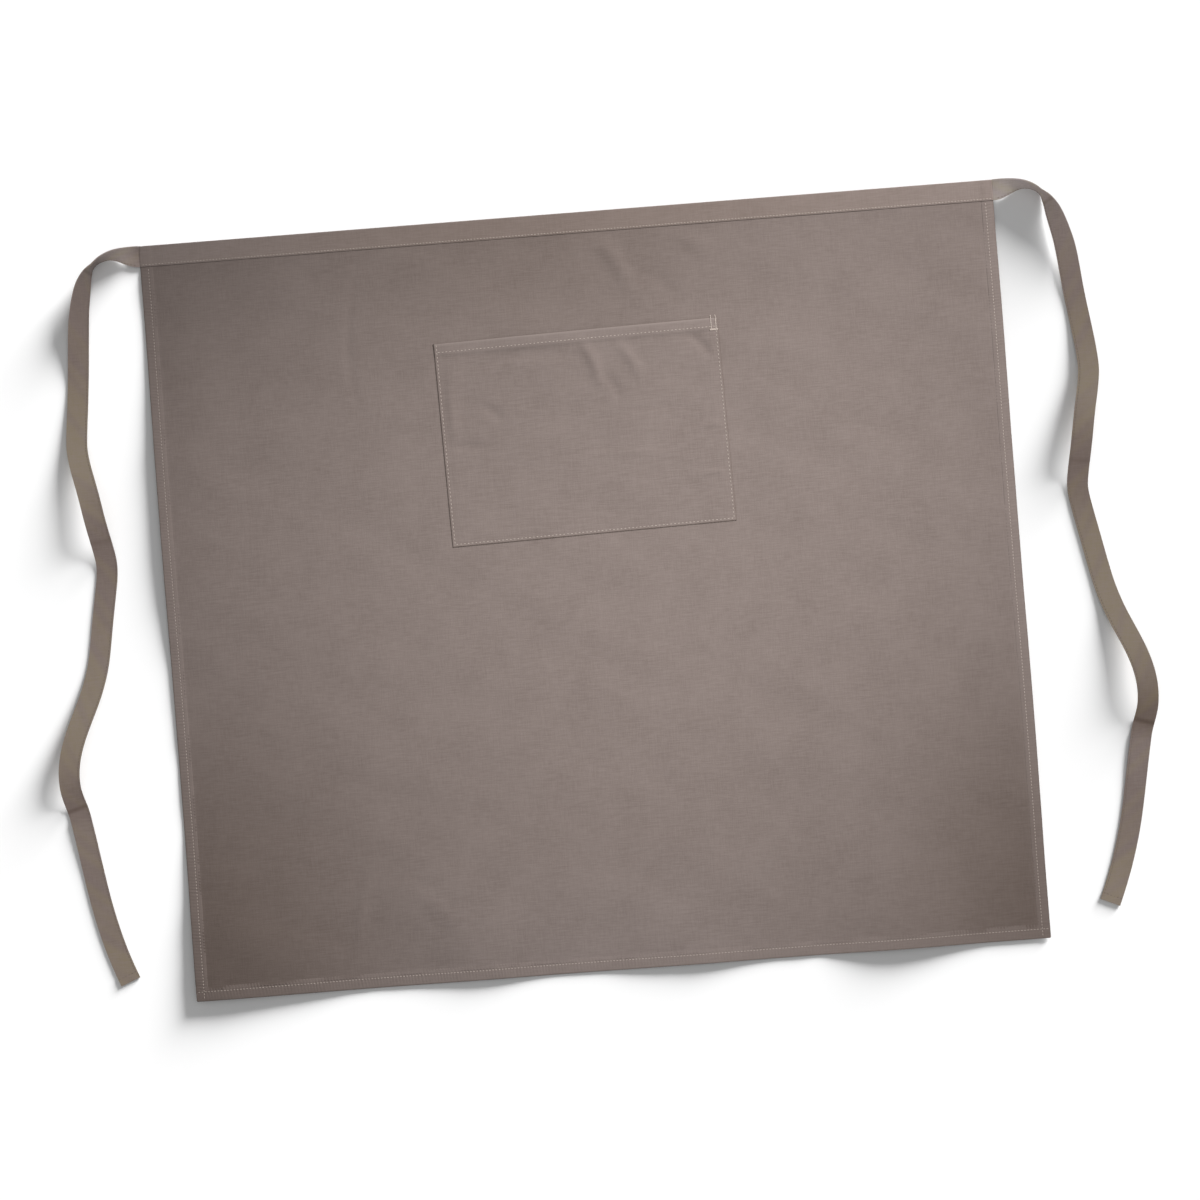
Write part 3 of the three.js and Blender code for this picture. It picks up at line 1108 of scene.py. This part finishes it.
def panel_back(places):
    x, y = places.T
    return stack(x, y, underside(x, y) + 0.2)


def pocket_surface(places):
    x, below = places.T
    panel_x, panel_y = pocket_xy(x, below)
    return stack(panel_x, panel_y, pocket_face(x, below))


def line_places(start, end, pitch=stitch_pitch):
    start, end = np.asarray(start, float), np.asarray(end, float)
    count = int(np.linalg.norm(end - start) / pitch)
    share = (np.arange(count) + 0.5) / count
    return start + share[:, None] * (end - start)


def build_panel_stitches():
    top = band_low_y - 2.0
    groups = []
    for side in (-1, 1):
        x = side * (panel_half - side_row)
        row = line_places((x, foot_line(x) + 2.5), (x, top))
        groups.append(row_on_surface(row, panel_surface))
        groups.append(row_on_surface(row, panel_back, -1.0, width=back_thread))
    half = panel_half - 1.5
    row = line_places((-half, foot_line(-half) + bottom_row), (half, foot_line(half) + bottom_row))
    groups.append(row_on_surface(row, panel_surface))
    groups.append(row_on_surface(row, panel_back, -1.0, width=back_thread))
    return add_stitches("stitches_hems", groups, pale_thread)


def build_band_stitches():
    half = panel_half - 1.5
    y = band_low_y + sewn_row
    x = line_places((-half, y), (half, y))[:, 0]
    half_thickness = band_gap(x) / 2 + leaf - thread_sink
    groups = []
    for facing, ripple, width in ((1.0, band_ripple(x), thread), (-1.0, 0, band_back_thread)):
        z = band_centre_z(x) + facing * half_thickness + ripple
        centres = stack(x, np.full(len(x), y), z)
        ahead = np.tile((1.0, 0.0, 0.0), (len(x), 1))
        up = np.tile((0.0, 0.0, facing), (len(x), 1))
        groups.append(stitches(centres, ahead, up, width=width))
    return add_stitches("stitches_waistband", groups, pale_thread)


# The threads on a tie's two faces: which way a face looks, how deep the thread lies, its thickness
tie_threads = table("facing sunk width", [
    (1, 0.1, 0.55),
    (-1, 0.22, 0.2),
])


def tie_row(tie, runs, across, half_thickness, step_run, step_across):
    """A row through a tie, seen on both faces. The steps say which way it runs."""
    groups = []
    for row in tie_threads:
        level = row["facing"] * (half_thickness - row["sunk"])
        centres = tie.at(runs, across, level)
        ahead = (
            tie.at(runs + step_run, across + step_across, level)
            - tie.at(runs - step_run, across - step_across, level)
        )
        up = (tie.at(runs, across, level + 1.0) - centres) * row["facing"]
        groups.append(stitches(centres, ahead, up, width=row["width"]))
    return groups


def build_tie_stitches(name, tie):
    inset = tape_half - sewn_row
    runs = line_places((3.0, 0.0), (tie_length - 3.0, 0.0))[:, 0]
    half_thickness = np.interp(runs, tie.along, tie.gap) / 2 + leaf
    groups = tie_row(tie, runs, np.full(len(runs), -inset), half_thickness, 0.5, 0)
    across = np.linspace(-inset, inset, int(2 * inset / stitch_pitch) + 1)
    runs = np.full(len(across), tie_length - tip_hem + 1.5)
    half_thickness = np.full(len(across), (leaf + tape_gap / 2) * (1 + tip_hem_rise))
    groups += tie_row(tie, runs, across, half_thickness, 0, 0.5)
    return add_stitches(name, groups, dull_thread)


def build_bar_tack():
    """Two upright rows and a foot of close stitches at the mouth's right-hand corner."""
    half = pocket_width / 2
    top, bottom = -2.5, 12.5
    foot = bottom + 0.8
    rows = [
        line_places((half - 7.5, top), (half - 7.5, bottom), tack_pitch),
        line_places((half - 2.5, top), (half - 2.5, bottom), tack_pitch),
        line_places((half - 9.5, bottom), (half - 0.5, bottom), tack_foot_pitch),
        line_places((half - 9.0, foot), (half - 1.0, foot), tack_foot_pitch),
    ]

    def surface(places):
        x, below = places.T
        panel_x, panel_y = pocket_xy(x, below)
        on_pocket = smoothstep(below, -1.0, 0.6)
        on_panel = (1 - on_pocket) * face(panel_x, panel_y)
        z = on_panel + on_pocket * pocket_face(x, np.maximum(below, 0))
        return stack(panel_x, panel_y, z)

    groups = [row_on_surface(row, surface, length=tack_length, width=tack_thread) for row in rows]
    return add_stitches("bar_tack", groups, pale_thread)


def build_pocket_stitches():
    half = pocket_width / 2 - pocket_seam
    bottom = pocket_depth - pocket_seam
    rows = [
        line_places((-half, 0.8), (-half, bottom), pocket_pitch),
        line_places((-half, bottom), (half, bottom), pocket_pitch),
        line_places((half, bottom), (half, 0.8), pocket_pitch),
        line_places((-half, mouth_row), (half, mouth_row), pocket_pitch),
    ]
    groups = [row_on_surface(row, pocket_surface, width=pocket_thread) for row in rows]
    return add_stitches("stitches_pocket", groups, pale_thread)


# Room: floor, lamps and camera. The floor, the frame and the lamps' places are in metres.

floor_size = 40.0
frame_width = 1.263
lens = 100.0
sensor = 36.0
view_centre = np.array([4.8, -8.8, 0.0])
view_turn = math.radians(-4.48)
world_light = 0.235
lamp_distance = 4.0


def build_floor():
    half = floor_size / 2
    corners = [(-half, -half, 0), (half, -half, 0), (half, half, 0), (-half, half, 0)]
    mesh = bpy.data.meshes.new("floor")
    mesh.from_pydata(corners, [], [(0, 1, 2, 3)])
    look = Shader("pale_floor")
    tone = look.mix(look.spread(look.noise(4.0), 0.3, 0.7), rgb(243, 243, 243), rgb(246, 246, 246))
    mesh.materials.append(look.finish(Base_Color=tone, Roughness=0.9, Specular_IOR_Level=0.0))
    floor = add_object("floor", mesh)
    return floor


def direction(azimuth, elevation):
    """Towards a lamp: azimuth from +X towards +Y, elevation above the floor, in degrees."""
    a, e = math.radians(azimuth), math.radians(elevation)
    return Vector((math.cos(a) * math.cos(e), math.sin(a) * math.cos(e), math.sin(e)))


def add_lamp(name, kind, energy, towards, target=(0, 0, 0), **settings):
    data = bpy.data.lights.new(name, kind)
    data.energy = energy
    for key, value in settings.items():
        setattr(data, key, value)
    lamp = add_object(name, data)
    lamp.location = Vector(target) + towards * lamp_distance
    lamp.rotation_euler = (-towards).to_track_quat("-Z", "Y").to_euler()
    return lamp


def light_only(lamp, objects, shaded_by=None):
    """The lamp lights these objects alone. Where shaded_by is given, only those shade it."""
    def group(name, items):
        made = bpy.data.collections.new(lamp.name + name)
        for item in items:
            made.objects.link(item)
        return made
    lamp.light_linking.receiver_collection = group("_lights", objects)
    if shaded_by:
        lamp.light_linking.blocker_collection = group("_blockers", shaded_by)


def build_camera():
    data = bpy.data.cameras.new("camera")
    data.lens = lens
    data.sensor_width = sensor
    camera = add_object("camera", data)
    centre = (view_centre + apron_origin) * MM
    camera.location = (centre[0], centre[1], frame_width * lens / sensor)
    camera.rotation_euler = (0, 0, view_turn)
    bpy.context.scene.camera = camera


def build_world():
    world = bpy.data.worlds.new("soft_white")
    bpy.context.scene.world = world
    world.use_nodes = True
    background = world.node_tree.nodes["Background"]
    background.inputs["Color"].default_value = (1, 1, 1, 1)
    background.inputs["Strength"].default_value = world_light


build_camera()
build_world()
floor = build_floor()

panel = build_panel_cloth()
hems = [build_side_hem("hem_left", -1), build_side_hem("hem_right", 1), build_bottom_hem()]
waistband = build_waistband()
ties = {"left": Tie(-1), "right": Tie(1)}
tie_pieces = {name: build_tie(f"tie_{name}_tape", tie) for name, tie in ties.items()}
pocket = build_pocket()
hem_stitches = build_panel_stitches()
band_stitches = build_band_stitches()
tie_stitches = {name: build_tie_stitches(f"stitches_tie_{name}", tie) for name, tie in ties.items()}
pocket_stitches = build_pocket_stitches()
bar_tack = build_bar_tack()

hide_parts("body_panel")
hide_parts("waistband")
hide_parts("pocket")
for name, piece in tie_pieces.items():
    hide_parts(f"tie_{name}")

# Two lamps each for the floor, the cloth and the ties, which the photograph shows in unlike light
loose_pieces = [*tie_pieces.values(), *tie_stitches.values()]
cloth_pieces = [panel, *hems, waistband, pocket, hem_stitches, band_stitches, pocket_stitches, bar_tack]
soft_spot = {"spot_blend": 1.0, "shadow_soft_size": 0.25}
floor_key = add_lamp("floor_key", "SUN", 11.0, direction(50, 13), angle=math.radians(24))
floor_fill = add_lamp("floor_fill", "SUN", 0.38, direction(0, 90), angle=math.radians(70))
cloth_key = add_lamp(
    "cloth_key", "SPOT", 570.0, direction(45, 35), target=(-0.26, -0.15, 0),
    spot_size=math.radians(47), **soft_spot,
)
cloth_key.scale = (0.43, 1, 1)
cloth_pool = add_lamp(
    "cloth_pool", "SPOT", 375.0, direction(0, 90), target=(0.45, -0.18, 0),
    spot_size=math.radians(19), **soft_spot,
)
cloth_pool.rotation_euler = (0, 0, math.radians(-26))
cloth_pool.scale = (1.87, 1, 1)
tie_key = add_lamp("tie_key", "SUN", 1.5, direction(45, 58), angle=math.radians(12))
tie_fill = add_lamp("tie_fill", "SUN", 1.15, direction(225, 35), angle=math.radians(30))
for lamp in (floor_key, floor_fill):
    light_only(lamp, [floor])
for lamp in (cloth_key, cloth_pool):
    light_only(lamp, cloth_pieces, shaded_by=cloth_pieces)
for lamp in (tie_key, tie_fill):
    light_only(lamp, loose_pieces)

view = bpy.context.scene.view_settings
view.view_transform = "Standard"
view.look = "None"
view.exposure = 0.0
